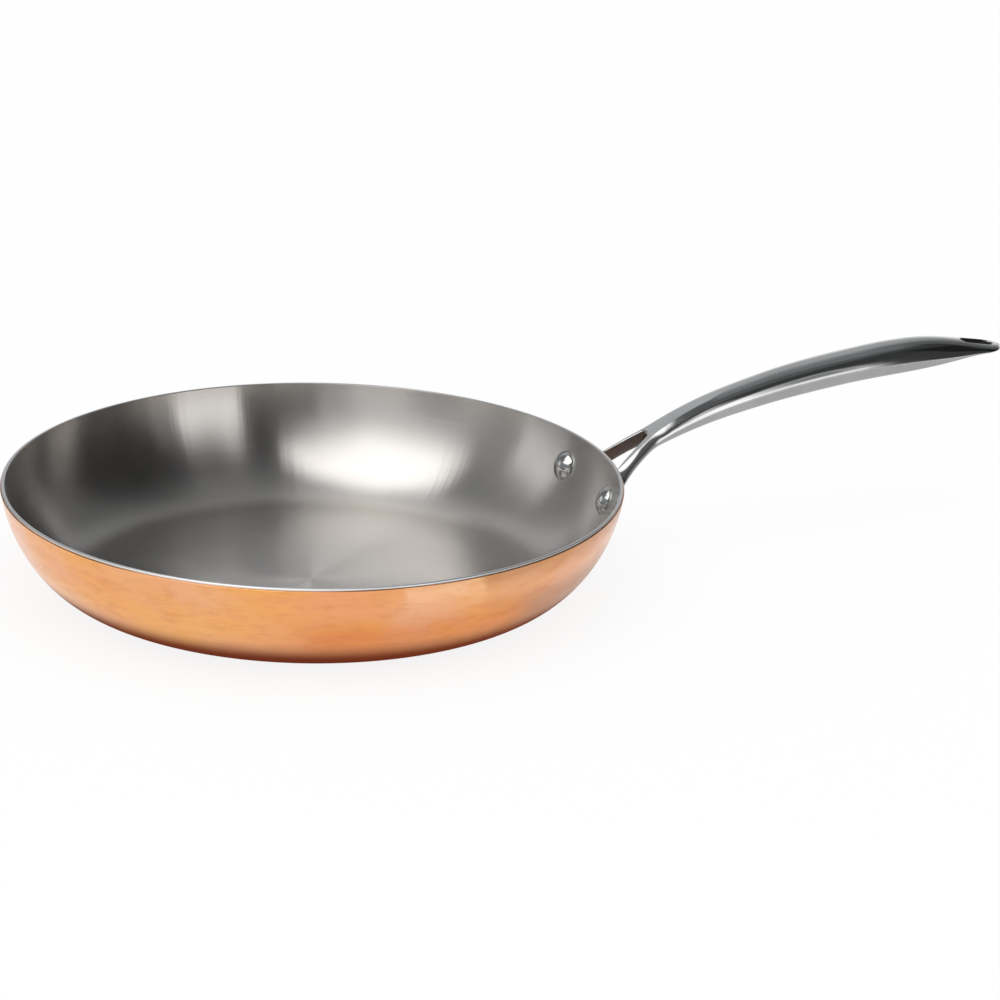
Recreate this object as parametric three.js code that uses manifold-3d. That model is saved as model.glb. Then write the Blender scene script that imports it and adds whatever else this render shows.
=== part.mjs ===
// Frying pan of three bonded metals with a cast handle held by two rivets.
// Millimetres, +Z up. The origin is on the floor under the middle of the base,
// and +X runs out along the handle.

import * as THREE from 'three';
import { mergeVertices } from 'three/addons/utils/BufferGeometryUtils.js';
import Module from 'manifold-3d';

// Pan body
const rimDiameter = 280;
const panHeight = 48;
const baseDiameter = 195;
const baseRun = 22.5;          // how long the bend clings to the floor
const wallRun = 23.5;          // how long the bend clings to the rim's slope
const wallFlare = 7.6;         // degrees from upright at the rim
const copperThickness = 0.5;
const coreThickness = 1;
const linerThickness = 0.5;
const bondGap = 0.05;          // between bonded layers
const copperDrop = 1.2;        // height of the bare rim above the copper

// Rivets
const rivetSpacing = 50.6;     // between the two rivets' middles
const rivetDepth = 15.8;       // below the rim, on the outside
const shankDiameter = 6;
const headDiameter = 13.5;
const headHeight = 3.7;
const headRim = 0.3;           // straight edge round the head
const tailDiameter = 10;
const tailHeight = 1.4;
const tailRim = 0.35;
const shankClearance = 0.3;
const seatClearance = 0.3;     // under a head and behind a pad

// Handle stations: each a run past the one before it, and the first past the rim.
// Crests are heights over the rim, and "above" is the share of the thickness over the widest line.
const fork = { run: 21, crest: 6.6, thickness: 7.9, width: 17.4, above: 0.58 };
const neck = { run: 24, crest: 18, thickness: 11.3, width: 17, above: 0.6 };
const rise = { run: 30, crest: 27, thickness: 13.5, width: 17.8, above: 0.6 };
const belly = { run: 40, crest: 34.2, thickness: 14.7, width: 19.5, above: 0.6 };
const shoulder = { run: 47, crest: 36.6, thickness: 12.2, width: 19.5, above: 0.78 };
const tongue = { run: 20, crest: 33.1, thickness: 4.9, width: 17, above: 0.93 };
const tip = { run: 13.5, crest: 30.1, thickness: 1.2, width: 16, above: 0.93 };
const tipRadius = 8.5;         // of its outline from above
const sectionRoundness = 0.95; // 1 is an ellipse, less is boxier

// Fork legs and the pads that they end in
const slotWidth = 6.8;         // at the closed end of the fork
const slotCorner = 1;          // how far the slot's end rounds back
const legSpread = 24;          // degrees off the handle's line
const legRun = 16;             // how long a leg keeps that direction
const legDrop = 8.8;           // how far it falls over that run
const legWidth = 6.2;
const legHeight = 7.5;
const legCorner = 0.6;
const turnIn = 16;             // length over which the body's sides turn into the legs
const easing = 4;              // how widely sizes are evened out around the fork
const easeBody = 19;           // how far along the body that reaches
const easeLeg = 14;            // and how far along a leg
const padRun = 14;             // how long a leg lies along the wall
const padThickness = 3.7;
const padDiameter = 15;
const padSink = 1;             // laid into the wall, then cut to fit it
const padRoundness = 0.5;
const padStart = 0.64;         // share of a leg's path where it begins to flatten
const slotShare = 0.6;         // share of a leg's path that the slot runs along
const axisShare = 0.8;         // share where a section's axis reaches the leg's inner side
const seam = 0.3;              // overlap of the handle's two halves before they are joined

// Hanging hole
const holeLength = 16;
const holeWidth = 7;
const holeMargin = 3.6;        // between the hole and the tip

// Facets
const turnSteps = 64;
const wallSteps = 9;
const roundSteps = 24;
const sectionSteps = 16;
const gripSteps = 18;
const turnInSteps = 6;
const slotSteps = 4;
const legSteps = 18;
const capSteps = 5;
const domeSteps = 5;
const halvings = 40;           // steps of the search for the rivets' height on the wall
const cutReach = 60;           // long enough for a cut to run right through
const capEnd = 0.96;           // share of a quarter turn where a rounded end is cut flat
const weldDistance = 1e-5;     // corners closer than this are one corner
const slopeProbe = 0.5;        // how far to each side a slope is measured

const rimRadius = rimDiameter / 2;
const wallThickness = copperThickness + coreThickness + linerThickness + 2 * bondGap;
const flare = THREE.MathUtils.degToRad(wallFlare);
const spread = THREE.MathUtils.degToRad(legSpread);
const slotSpan = slotWidth / 2 / Math.cos(spread);   // half the slot, measured along a swung section

const wasm = await Module();
wasm.setup();

// A closed geometry as a solid that can be joined and cut.
function solidOf(geometry) {
  const bare = geometry.clone();
  bare.deleteAttribute('normal');
  bare.deleteAttribute('uv');
  const merged = mergeVertices(bare, weldDistance);
  const corners = merged.index.array;
  const kept = [];
  for (let i = 0; i < corners.length; i += 3) {
    const [a, b, c] = [corners[i], corners[i + 1], corners[i + 2]];
    if (a !== b && b !== c && c !== a) kept.push(a, b, c);
  }
  const mesh = new wasm.Mesh({
    numProp: 3,
    vertProperties: new Float32Array(merged.attributes.position.array),
    triVerts: new Uint32Array(kept),
  });
  return new wasm.Manifold(mesh);
}

// The same solid as a geometry again.
function geometryOf(solid) {
  const mesh = solid.getMesh();
  const geometry = new THREE.BufferGeometry();
  geometry.setAttribute('position', new THREE.BufferAttribute(mesh.vertProperties, 3));
  geometry.setIndex(new THREE.BufferAttribute(mesh.triVerts, 1));
  geometry.computeVertexNormals();
  return geometry;
}

// The outside of the wall in a half section: from the edge of the flat base to the rim.
const wallCurve = new THREE.CubicBezierCurve(
  new THREE.Vector2(baseDiameter / 2, 0),
  new THREE.Vector2(baseDiameter / 2 + baseRun, 0),
  new THREE.Vector2(rimRadius - wallRun * Math.sin(flare), panHeight - wallRun * Math.cos(flare)),
  new THREE.Vector2(rimRadius, panHeight),
);

// Half section of the surface that lies a given depth inside the pan's outside, and ends a given
// drop below the rim.
function sectionAt(depth, drop) {
  const points = [new THREE.Vector2(0, depth)];
  for (let i = 0; i < wallSteps; i += 1) {
    const at = wallCurve.getPoint(i / wallSteps);
    const along = wallCurve.getTangent(i / wallSteps);
    points.push(new THREE.Vector2(at.x - along.y * depth, at.y + along.x * depth));
  }
  const edge = rimRadius - depth / Math.cos(flare) - drop * Math.tan(flare);
  points.push(new THREE.Vector2(edge, panHeight - drop));
  return points;
}

function turned(points) {
  const geometry = new THREE.LatheGeometry(points, turnSteps);
  geometry.rotateX(Math.PI / 2);
  return solidOf(geometry);
}

// One sheet of the pan, between two depths below its outside.
function sheet(outerDepth, innerDepth, drop) {
  return turned([...sectionAt(outerDepth, drop), ...sectionAt(innerDepth, drop).reverse()]);
}

// The whole pan as a filled solid, grown outwards.
function filledPan(growth) {
  return turned([...sectionAt(-growth, 0), new THREE.Vector2(0, panHeight)]);
}

// Where a rivet goes through the outside of the wall, and how the wall leans there.
function rivetOnCurve() {
  let low = 0;
  let high = 1;
  for (let i = 0; i < halvings; i += 1) {
    const middle = (low + high) / 2;
    if (wallCurve.getPoint(middle).y < panHeight - rivetDepth) low = middle;
    else high = middle;
  }
  return { at: wallCurve.getPoint(low), along: wallCurve.getTangent(low) };
}

const rivetSeat = rivetOnCurve();
const rivetTurn = Math.asin(rivetSpacing / 2 / rivetSeat.at.x);
const wallLean = Math.atan2(rivetSeat.along.x, rivetSeat.along.y);

// Frame of one rivet: origin on the outside of the wall, Y out along its axis.
function rivetFrame(side) {
  const turn = side * rivetTurn;
  const across = new THREE.Vector3(-Math.sin(turn), Math.cos(turn), 0);
  const out = new THREE.Vector3(
    Math.cos(wallLean) * Math.cos(turn),
    Math.cos(wallLean) * Math.sin(turn),
    -Math.sin(wallLean),
  );
  const origin = new THREE.Vector3(
    rivetSeat.at.x * Math.cos(turn),
    rivetSeat.at.x * Math.sin(turn),
    rivetSeat.at.y,
  );
  const up = new THREE.Vector3().crossVectors(across, out);
  return new THREE.Matrix4().makeBasis(across, out, up).setPosition(origin);
}

// A round solid about a rivet's axis, from a half section given outwards along the axis.
function roundOnRivet(points, side) {
  const geometry = new THREE.LatheGeometry(points, roundSteps);
  geometry.applyMatrix4(rivetFrame(side));
  return solidOf(geometry);
}

function barOnRivet(radius, from, to, side) {
  const points = [
    new THREE.Vector2(0, from),
    new THREE.Vector2(radius, from),
    new THREE.Vector2(radius, to),
    new THREE.Vector2(0, to),
  ];
  return roundOnRivet(points, side);
}

// A low dome: its flat side at "foot", its top a given height away along "way" (1 or -1).
function domePoints(radius, height, rim, foot, way) {
  const bulge = height - rim;
  const sphere = (radius * radius + bulge * bulge) / (2 * bulge);
  const reach = Math.asin(Math.min(1, radius / sphere));
  const points = [];
  for (let i = 0; i <= domeSteps; i += 1) {
    const angle = reach * (1 - i / domeSteps);
    const rise = rim + Math.cos(angle) * sphere - (sphere - bulge);
    points.push(new THREE.Vector2(Math.sin(angle) * sphere, foot + way * rise));
  }
  points[domeSteps].x = 0;
  return points;
}

const padFace = seatClearance + padThickness;
const tailFoot = padFace + seatClearance;

function rivetSolid(side) {
  const headRadius = headDiameter / 2;
  const headFoot = -wallThickness - seatClearance;
  const headPoints = [
    ...domePoints(headRadius, headHeight, headRim, headFoot, -1).reverse(),
    new THREE.Vector2(headRadius, 0),
    new THREE.Vector2(0, 0),
  ];
  const wall = sheet(-padFace, wallThickness + seatClearance, 0);
  const head = roundOnRivet(headPoints, side).subtract(wall);
  const tailPoints = [
    new THREE.Vector2(0, tailFoot),
    new THREE.Vector2(tailDiameter / 2, tailFoot),
    ...domePoints(tailDiameter / 2, tailHeight, tailRim, tailFoot, 1),
  ];
  const tail = roundOnRivet(tailPoints, side);
  const shank = barOnRivet(shankDiameter / 2, headFoot - headHeight / 2, tailFoot + tailHeight / 2, side);
  return head.add(shank).add(tail);
}

function rivetHole(side) {
  return barOnRivet(shankDiameter / 2 + shankClearance, -cutReach, cutReach, side);
}

// Flat seat for the rivet's tail on the outside of a pad.
function tailSeat(side) {
  return barOnRivet(tailDiameter / 2 + shankClearance, padFace, cutReach, side);
}

// Smooth curve through the handle's stations for one of their sizes.
const stations = [fork, neck, rise, belly, shoulder, tongue, tip];
stations.forEach((station, i) => {
  station.reach = station.run + (i > 0 ? stations[i - 1].reach : 0);
});

function stationSlope(index, size) {
  const stepTo = (i) => stations[i + 1].run;
  const slopeTo = (i) => (stations[i + 1][size] - stations[i][size]) / stepTo(i);
  const last = stations.length - 1;
  if (index === 0) {
    const bend = (slopeTo(0) - slopeTo(1)) * stepTo(0) / (stepTo(0) + stepTo(1));
    return slopeTo(0) + bend;
  }
  if (index === last) return slopeTo(last - 1);
  const before = stepTo(index - 1);
  const after = stepTo(index);
  return (before * slopeTo(index) + after * slopeTo(index - 1)) / (before + after);
}

function alongHandle(reach, size) {
  let i = 0;
  while (i < stations.length - 2 && reach > stations[i + 1].reach) i += 1;
  const step = stations[i + 1].run;
  const t = (reach - stations[i].reach) / step;
  const start = stations[i][size] * (1 + 2 * t) * (1 - t) ** 2;
  const end = stations[i + 1][size] * t * t * (3 - 2 * t);
  const startSlope = stationSlope(i, size) * step * t * (1 - t) ** 2;
  const endSlope = stationSlope(i + 1, size) * step * t * t * (t - 1);
  return start + end + startSlope + endSlope;
}

// Height over the rim of the line where the handle is widest, and its slope.
function waistHeight(reach) {
  return alongHandle(reach, 'crest') - alongHandle(reach, 'thickness') * alongHandle(reach, 'above');
}

function waistSlope(reach) {
  return (waistHeight(reach + slopeProbe) - waistHeight(reach - slopeProbe)) / (2 * slopeProbe);
}

function mixed(a, b, t) {
  return a + (b - a) * t;
}

const tipStart = tip.reach - tipRadius;
const forkEnd = fork.reach - slotCorner - slotSpan * Math.sin(spread);
const turnStart = forkEnd + turnIn;

// The handle's left half is a row of half sections. Each has a point on its axis, a swing seen from
// above, a width, heights up and down, a ramp that lifts what lies further out along the handle, a
// lean, a roundness and the distance from its axis to its inner side.
function bodyRow(reach) {
  const past = Math.max(reach - tipStart, 0) / tipRadius;
  const swing = spread * THREE.MathUtils.smoothstep(turnStart - reach, 0, turnIn);
  const thickness = alongHandle(reach, 'thickness');
  const upper = thickness * alongHandle(reach, 'above');
  return {
    x: rimRadius + reach,
    y: 0,
    z: panHeight + waistHeight(reach),
    swing,
    width: alongHandle(reach, 'width') / 2 * Math.sqrt(1 - past * past) / Math.cos(swing),
    upper,
    lower: thickness - upper,
    ramp: waistSlope(reach),
    lean: 0,
    roundness: sectionRoundness,
    hollow: 0,
  };
}

// The slot's blunt end seen from above, a share of the way from the middle to its side.
function slotEnd(share) {
  const angle = Math.PI / 2 * share;
  const back = slotCorner * (1 - Math.cos(angle));
  return new THREE.Vector2(rimRadius + fork.reach - back, slotWidth / 2 * Math.sin(angle));
}

// From the tip to the closed end of the fork.
function bodyRows() {
  const reaches = [];
  for (let i = capSteps; i > 0; i -= 1) {
    reaches.push(tipStart + tipRadius * Math.sin(Math.PI / 2 * capEnd * i / capSteps));
  }
  for (let i = 0; i < gripSteps; i += 1) reaches.push(mixed(tipStart, turnStart, i / gripSteps));
  for (let i = 0; i <= turnInSteps; i += 1) {
    reaches.push(mixed(turnStart, fork.reach, i / turnInSteps));
  }
  for (let i = 1; i <= slotSteps; i += 1) {
    const at = slotEnd(i / slotSteps);
    reaches.push(at.x - at.y * Math.tan(spread) - rimRadius);
  }
  return reaches.map(bodyRow);
}

// A pad's middle on the wall, and the directions out from the wall and on along it.
function padPlace() {
  const seat = new THREE.Vector3().setFromMatrixPosition(rivetFrame(1));
  const along = new THREE.Vector3(-Math.sin(rivetTurn), Math.cos(rivetTurn), 0);
  const out = new THREE.Vector3(Math.cos(wallLean), 0, -Math.sin(wallLean));
  out.applyAxisAngle(new THREE.Vector3(0, 0, 1), rivetTurn);
  return { middle: seat.addScaledVector(out, seatClearance - padSink), along };
}

const pad = padPlace();

// The leg's inner side in space, from the slot's end to the middle of the pad.
function legPath(last) {
  const step = slotSpan * Math.sin(spread);
  const start = new THREE.Vector3(last.x + step, slotWidth / 2, last.z + last.ramp * step);
  const heading = new THREE.Vector3(-Math.cos(spread) * legRun, Math.sin(spread) * legRun, -legDrop);
  return new THREE.CubicBezierCurve3(
    start,
    start.clone().add(heading),
    pad.middle.clone().addScaledVector(pad.along, -padRun),
    pad.middle,
  );
}

function legRow(path, share, last) {
  const inner = path.getPoint(share);
  const going = path.getTangent(share);
  const swing = Math.atan2(going.y, -going.x);
  const early = THREE.MathUtils.smoothstep(share, 0, padStart);
  const settle = THREE.MathUtils.smoothstep(share, padStart, 1);
  const hollow = slotSpan * (1 - THREE.MathUtils.smoothstep(share, 0, axisShare));
  const ramp = last.ramp * (1 - early);
  const sized = (body, leg, end) => mixed(mixed(body, leg, early), end, settle);
  return {
    x: inner.x - hollow * Math.sin(swing),
    y: inner.y - hollow * Math.cos(swing),
    z: inner.z - hollow * Math.sin(swing) * ramp,
    swing,
    width: hollow + sized(last.width - slotSpan, legWidth, padThickness + padSink),
    upper: sized(last.upper, legHeight / 2, padDiameter / 2),
    lower: sized(last.lower, legHeight / 2, padDiameter / 2),
    ramp,
    lean: wallLean * settle,
    roundness: mixed(sectionRoundness, padRoundness, settle ** 2),
    hollow,
  };
}

// The pad's round end past the rivet.
function padEndRow(share, last) {
  const angle = Math.PI / 2 * capEnd * share;
  const at = pad.middle.clone().addScaledVector(pad.along, padDiameter / 2 * Math.sin(angle));
  const halfHeight = padDiameter / 2 * Math.cos(angle);
  return { ...last, x: at.x, y: at.y, z: at.z, upper: halfHeight, lower: halfHeight };
}

// The body flows into the legs: around the fork each size becomes a weighted mean of its neighbours.
function easedRows(rows, forkRow) {
  const marks = [0];
  for (let i = 1; i < rows.length; i += 1) {
    const [a, b] = [rows[i - 1], rows[i]];
    marks.push(marks[i - 1] + Math.hypot(b.x - a.x, b.y - a.y, b.z - a.z));
  }
  const low = marks[forkRow] - easeBody;
  const high = marks[forkRow] + easeLeg;
  const weightOf = (k, i, reach) => {
    const span = marks[Math.min(k + 1, rows.length - 1)] - marks[Math.max(k - 1, 0)];
    return span * Math.exp(-(((marks[k] - marks[i]) / reach) ** 2) / 2);
  };
  return rows.map((row, i) => {
    const reach = Math.min(easing, (marks[i] - low) / 2, (high - marks[i]) / 2);
    if (reach <= 0) return row;
    const weights = rows.map((_, k) => weightOf(k, i, reach));
    const total = weights.reduce((sum, weight) => sum + weight, 0);
    const mean = (size) => rows.reduce((sum, other, k) => sum + other[size] * weights[k], 0) / total;
    return Object.fromEntries(Object.keys(row).map((size) => [size, mean(size)]));
  });
}

// The slot's side seen from above: its blunt end, then along a leg.
function slotOutline(path) {
  const points = [];
  for (let i = 0; i < slotSteps; i += 1) points.push(slotEnd(i / slotSteps));
  for (let i = 0; i < legSteps; i += 1) {
    const at = path.getPoint(i / legSteps);
    points.push(new THREE.Vector2(at.x, at.y));
  }
  return points;
}

// Where a section's inner side is: on the slot's outline or, past the slot, on the seam.
function innerSide(row, outline) {
  const [sine, cosine] = [Math.sin(row.swing), Math.cos(row.swing)];
  const beside = (p) => (p.x - row.x) * cosine - (p.y - row.y) * sine;
  const outward = (p) => (p.x - row.x) * sine + (p.y - row.y) * cosine;
  let side = -(row.y + seam) / cosine;
  for (let i = 1; i < outline.length; i += 1) {
    const [from, to] = [outline[i - 1], outline[i]];
    const [a, b] = [beside(from), beside(to)];
    if (a * b < 0) side = Math.max(side, mixed(outward(from), outward(to), a / (a - b)));
  }
  return side;
}

// One half section: rounded on its outer side from the top down, then flat on its inner side.
function sectionRing(row, side) {
  const flat = new THREE.Vector3(Math.sin(row.swing), Math.cos(row.swing), 0);
  const up = new THREE.Vector3(0, 0, Math.cos(row.lean)).addScaledVector(flat, Math.sin(row.lean));
  const across = flat.multiplyScalar(Math.cos(row.lean)).setZ(-Math.sin(row.lean));
  const corner = Math.min(side < 0 ? seam / 2 : legCorner, row.upper / 2, row.lower / 2);
  const start = Math.min(side + corner, 0);
  const limit = Math.acos((Math.max(side + corner, 0) / row.width) ** (1 / row.roundness));
  const place = (a, u) => {
    const point = new THREE.Vector3(row.x, row.y, row.z);
    point.addScaledVector(across, a).addScaledVector(up, u);
    point.z += row.ramp * (point.x - row.x);
    return point;
  };
  const heightAt = (angle) => {
    const height = angle > 0 ? row.upper : row.lower;
    return height * Math.sign(angle) * Math.abs(Math.sin(angle)) ** row.roundness;
  };
  const ring = [];
  for (let i = 0; i <= sectionSteps; i += 1) {
    const angle = limit * (1 - 2 * i / sectionSteps);
    const a = start + (row.width - start) * Math.max(Math.cos(angle), 0) ** row.roundness;
    ring.push(place(a, heightAt(angle)));
  }
  ring.push(place(side, heightAt(-limit) + corner));
  ring.push(place(side, heightAt(limit) - corner));
  return ring;
}

// All sections of one half, from the tip to the far end of its pad.
function handleRings() {
  const rows = bodyRows();
  const forkRow = rows.length - 1;
  const last = rows[forkRow];
  const path = legPath(last);
  for (let i = 1; i <= legSteps; i += 1) rows.push(legRow(path, i / legSteps, last));
  const padRow = rows[rows.length - 1];
  for (let i = 1; i <= capSteps; i += 1) rows.push(padEndRow(i / capSteps, padRow));
  const outline = slotOutline(path);
  const slotRows = forkRow + legSteps * slotShare;
  return easedRows(rows, forkRow).map((row, i) => (
    sectionRing(row, i > slotRows ? row.hollow : innerSide(row, outline))
  ));
}

// A closed skin over a row of sections, for the left half (1) or the right half (-1).
function handleHalf(side) {
  const rings = handleRings();
  const count = rings[0].length;
  const positions = [];
  const corners = [];
  const triangle = (a, b, c) => corners.push(...(side > 0 ? [a, c, b] : [a, b, c]));
  rings.flat().forEach((p) => positions.push(p.x, p.y * side, p.z));
  for (let r = 0; r < rings.length - 1; r += 1) {
    for (let k = 0; k < count; k += 1) {
      const here = r * count + k;
      const beside = r * count + (k + 1) % count;
      triangle(here, beside + count, beside);
      triangle(here, here + count, beside + count);
    }
  }
  [0, rings.length - 1].forEach((r) => {
    const middle = new THREE.Vector3();
    rings[r].forEach((p) => middle.addScaledVector(p, 1 / count));
    const centre = positions.length / 3;
    positions.push(middle.x, middle.y * side, middle.z);
    for (let k = 0; k < count; k += 1) {
      const here = r * count + k;
      const beside = r * count + (k + 1) % count;
      if (r === 0) triangle(centre, here, beside);
      else triangle(centre, beside, here);
    }
  });
  const geometry = new THREE.BufferGeometry();
  geometry.setAttribute('position', new THREE.Float32BufferAttribute(positions, 3));
  geometry.setIndex(corners);
  return solidOf(geometry);
}

// Long hole with round ends, right through the tongue.
function hangingHole() {
  const radius = holeWidth / 2;
  const straight = holeLength / 2 - radius;
  const outline = new THREE.Shape();
  outline.absarc(straight, 0, radius, -Math.PI / 2, Math.PI / 2, false);
  outline.absarc(-straight, 0, radius, Math.PI / 2, Math.PI * 3 / 2, false);
  const options = { depth: 2 * cutReach, bevelEnabled: false, curveSegments: roundSteps / 2 };
  const geometry = new THREE.ExtrudeGeometry(outline, options);
  const middle = rimRadius + tip.reach - holeMargin - holeLength / 2;
  geometry.translate(middle, 0, panHeight + tongue.crest - cutReach);
  return solidOf(geometry);
}

function handleSolid() {
  let handle = handleHalf(1).add(handleHalf(-1));
  handle = handle.subtract(filledPan(seatClearance)).subtract(hangingHole());
  [1, -1].forEach((side) => {
    handle = handle.subtract(rivetHole(side)).subtract(tailSeat(side));
  });
  return handle;
}

function piercedSheet(outerDepth, innerDepth, drop) {
  return sheet(outerDepth, innerDepth, drop).subtract(rivetHole(1)).subtract(rivetHole(-1));
}

const copper = { color: 0xd5854f, roughness: 0.36, metalness: 1 };
const aluminium = { color: 0xc9cacb, roughness: 0.45, metalness: 1 };
const brushedSteel = { color: 0xb4b2b0, roughness: 0.32, metalness: 1 };
const polishedSteel = { color: 0xc4c4c4, roughness: 0.16, metalness: 1 };

const pan = new THREE.Group();

function piece(name, solid, look) {
  const mesh = new THREE.Mesh(geometryOf(solid), new THREE.MeshStandardMaterial(look));
  mesh.name = name;
  pan.add(mesh);
}

const coreDepth = copperThickness + bondGap;
const linerDepth = coreDepth + coreThickness + bondGap;
piece('copper_shell', piercedSheet(0, copperThickness, copperDrop), copper);
piece('aluminium_core', piercedSheet(coreDepth, coreDepth + coreThickness, 0), aluminium);
piece('steel_liner', piercedSheet(linerDepth, linerDepth + linerThickness, 0), brushedSteel);
piece('handle', handleSolid(), polishedSteel);
piece('rivet_left', rivetSolid(1), polishedSteel);
piece('rivet_right', rivetSolid(-1), polishedSteel);

export default pan;
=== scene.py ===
# Frying pan of copper, aluminium and steel with a riveted cast handle, dressed for a studio picture.
# Metres, +Z up, the handle along +X. Sizes in the dictionaries are millimetres unless a note says so.
import math
from functools import partial

import bmesh
import bpy
import numpy as np
from mathutils import Matrix, Vector


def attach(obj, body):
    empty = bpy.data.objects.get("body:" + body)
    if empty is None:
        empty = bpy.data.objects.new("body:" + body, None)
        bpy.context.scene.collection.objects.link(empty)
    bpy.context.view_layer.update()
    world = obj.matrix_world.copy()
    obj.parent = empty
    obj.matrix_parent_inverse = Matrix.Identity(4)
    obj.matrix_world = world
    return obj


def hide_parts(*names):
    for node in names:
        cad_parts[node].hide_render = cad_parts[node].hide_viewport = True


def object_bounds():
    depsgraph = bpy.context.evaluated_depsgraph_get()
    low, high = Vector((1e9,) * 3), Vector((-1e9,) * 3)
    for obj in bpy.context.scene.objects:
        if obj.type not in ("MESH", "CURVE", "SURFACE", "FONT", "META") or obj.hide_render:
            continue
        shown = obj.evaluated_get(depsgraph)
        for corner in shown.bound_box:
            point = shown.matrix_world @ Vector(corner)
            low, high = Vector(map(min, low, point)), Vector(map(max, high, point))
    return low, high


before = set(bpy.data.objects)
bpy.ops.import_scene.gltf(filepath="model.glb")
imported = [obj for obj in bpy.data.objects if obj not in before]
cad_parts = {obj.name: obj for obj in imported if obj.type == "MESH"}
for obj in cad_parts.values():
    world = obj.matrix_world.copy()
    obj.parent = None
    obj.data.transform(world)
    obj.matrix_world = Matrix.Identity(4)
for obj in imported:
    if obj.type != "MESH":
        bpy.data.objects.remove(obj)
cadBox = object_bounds()
mm = 0.001
quarterTurn = math.pi / 2
print("frame loaded:", sorted(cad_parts))

scene = bpy.context.scene
scene.view_settings.view_transform = "Standard"


# Small helpers for node trees

def addNode(tree, kind, inputs=None, **settings):
    node = tree.nodes.new(kind)
    for key, value in settings.items():
        setattr(node, key, value)
    for key, value in (inputs or {}).items():
        feed(tree, value, node.inputs[key])
    return node


def feed(tree, value, socket):
    if isinstance(value, bpy.types.NodeSocket):
        tree.links.new(value, socket)
    else:
        socket.default_value = value


def calc(tree, operation, *terms):
    return addNode(tree, "ShaderNodeMath", dict(enumerate(terms)), operation=operation).outputs[0]


def arithmetic(tree):                     # plus, minus, times, over, and times with a plus, in one tree
    operations = ("ADD", "SUBTRACT", "MULTIPLY", "DIVIDE", "MULTIPLY_ADD")
    return (partial(calc, tree, operation) for operation in operations)


def addSockets(tree, way, kinds):
    for label, kind in kinds.items():
        tree.interface.new_socket(label, in_out=way, socket_type="NodeSocket" + kind)


def vectorCalc(tree, operation, *terms):
    return addNode(tree, "ShaderNodeVectorMath", dict(enumerate(terms)), operation=operation).outputs


def vectorOf(tree, x, y, z):
    return addNode(tree, "ShaderNodeCombineXYZ", {"X": x, "Y": y, "Z": z}).outputs[0]


def between(tree, low, high, share):      # from low at 0 to high at 1
    return calc(tree, "MULTIPLY_ADD", share, calc(tree, "SUBTRACT", high, low), low)


def clamped(tree, value):
    return addNode(tree, "ShaderNodeClamp", {"Value": value}).outputs[0]


def mixColours(tree, share, first, second, blend="MIX"):
    inputs = {0: share, 6: first, 7: second}          # the node's colour sockets
    return addNode(tree, "ShaderNodeMix", inputs, data_type="RGBA", blend_type=blend).outputs[2]


def ranged(tree, value, low, high):       # smoothly from 0 at low to 1 at high
    inputs = {0: value, 1: low, 2: high}
    return addNode(tree, "ShaderNodeMapRange", inputs, interpolation_type="SMOOTHSTEP").outputs[0]


# Small helpers for meshes

meshing = {                               # metres and degrees
    "nodeWeld": 0.000001, "sheetWeld": 0.0000005, "sheetSharp": 40, "handleWeld": 0.000002, "handleSharp": 45,
}


def addObject(name, data):
    added = bpy.data.objects.new(name, data)
    scene.collection.objects.link(added)
    return added


def smoothMesh(mesh, weldReach, sharpAngle):
    limit = math.radians(sharpAngle)
    shape = bmesh.new()
    shape.from_mesh(mesh)
    bmesh.ops.remove_doubles(shape, verts=shape.verts, dist=weldReach)
    bmesh.ops.dissolve_degenerate(shape, edges=shape.edges, dist=weldReach)
    bmesh.ops.recalc_face_normals(shape, faces=shape.faces)
    for face in shape.faces:
        face.smooth = True
    for edge in shape.edges:
        edge.smooth = len(edge.link_faces) == 2 and edge.calc_face_angle() < limit
    shape.to_mesh(mesh)
    shape.free()


def runNodes(name, tree, values):         # a piece made by a node tree, as a plain smooth mesh
    piece = addObject(name, bpy.data.meshes.new(name))
    modifier = piece.modifiers.new(tree.name, "NODES")
    modifier.node_group = tree
    for item in tree.interface.items_tree:
        if item.in_out == "INPUT" and item.name in values:
            modifier[item.identifier] = values[item.name]
    evaluated = piece.evaluated_get(bpy.context.evaluated_depsgraph_get())
    mesh = bpy.data.meshes.new_from_object(evaluated)
    piece.modifiers.clear()
    piece.data = mesh
    mesh.name = name
    smoothMesh(mesh, meshing["sheetWeld"], meshing["sheetSharp"])
    return piece


def newTree(name, numbers, counts):
    tree = bpy.data.node_groups.new(name, "GeometryNodeTree")
    addSockets(tree, "INPUT", {"Geometry": "Geometry", "finish": "Material"})
    addSockets(tree, "INPUT", {**dict.fromkeys(numbers, "Float"), **dict.fromkeys(counts, "Int")})
    addSockets(tree, "OUTPUT", {"Geometry": "Geometry"})
    return tree, tree.nodes.new("NodeGroupInput").outputs


def turnedGrid(tree, steps, rows):        # a grid to be turned, with each point's turn and row
    grid = addNode(tree, "GeometryNodeMeshGrid", {
        "Vertices X": calc(tree, "ADD", steps, 1.0), "Vertices Y": calc(tree, "ADD", rows, 1.0)})
    spot = addNode(tree, "ShaderNodeSeparateXYZ", {0: grid.outputs["UV Map"]}).outputs
    turn = calc(tree, "MULTIPLY", spot[0], math.tau)
    return grid.outputs["Mesh"], turn, calc(tree, "MULTIPLY", spot[1], rows)


def turnRound(tree, mesh, turn, radius, height):
    x, y = (calc(tree, "MULTIPLY", radius, calc(tree, way, turn)) for way in ("COSINE", "SINE"))
    inputs = {"Geometry": mesh, "Position": vectorOf(tree, x, y, height)}
    return addNode(tree, "GeometryNodeSetPosition", inputs).outputs[0]


def weld(tree, geometry):
    inputs = {"Geometry": geometry, "Distance": meshing["nodeWeld"]}
    return addNode(tree, "GeometryNodeMergeByDistance", inputs).outputs[0]


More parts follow.
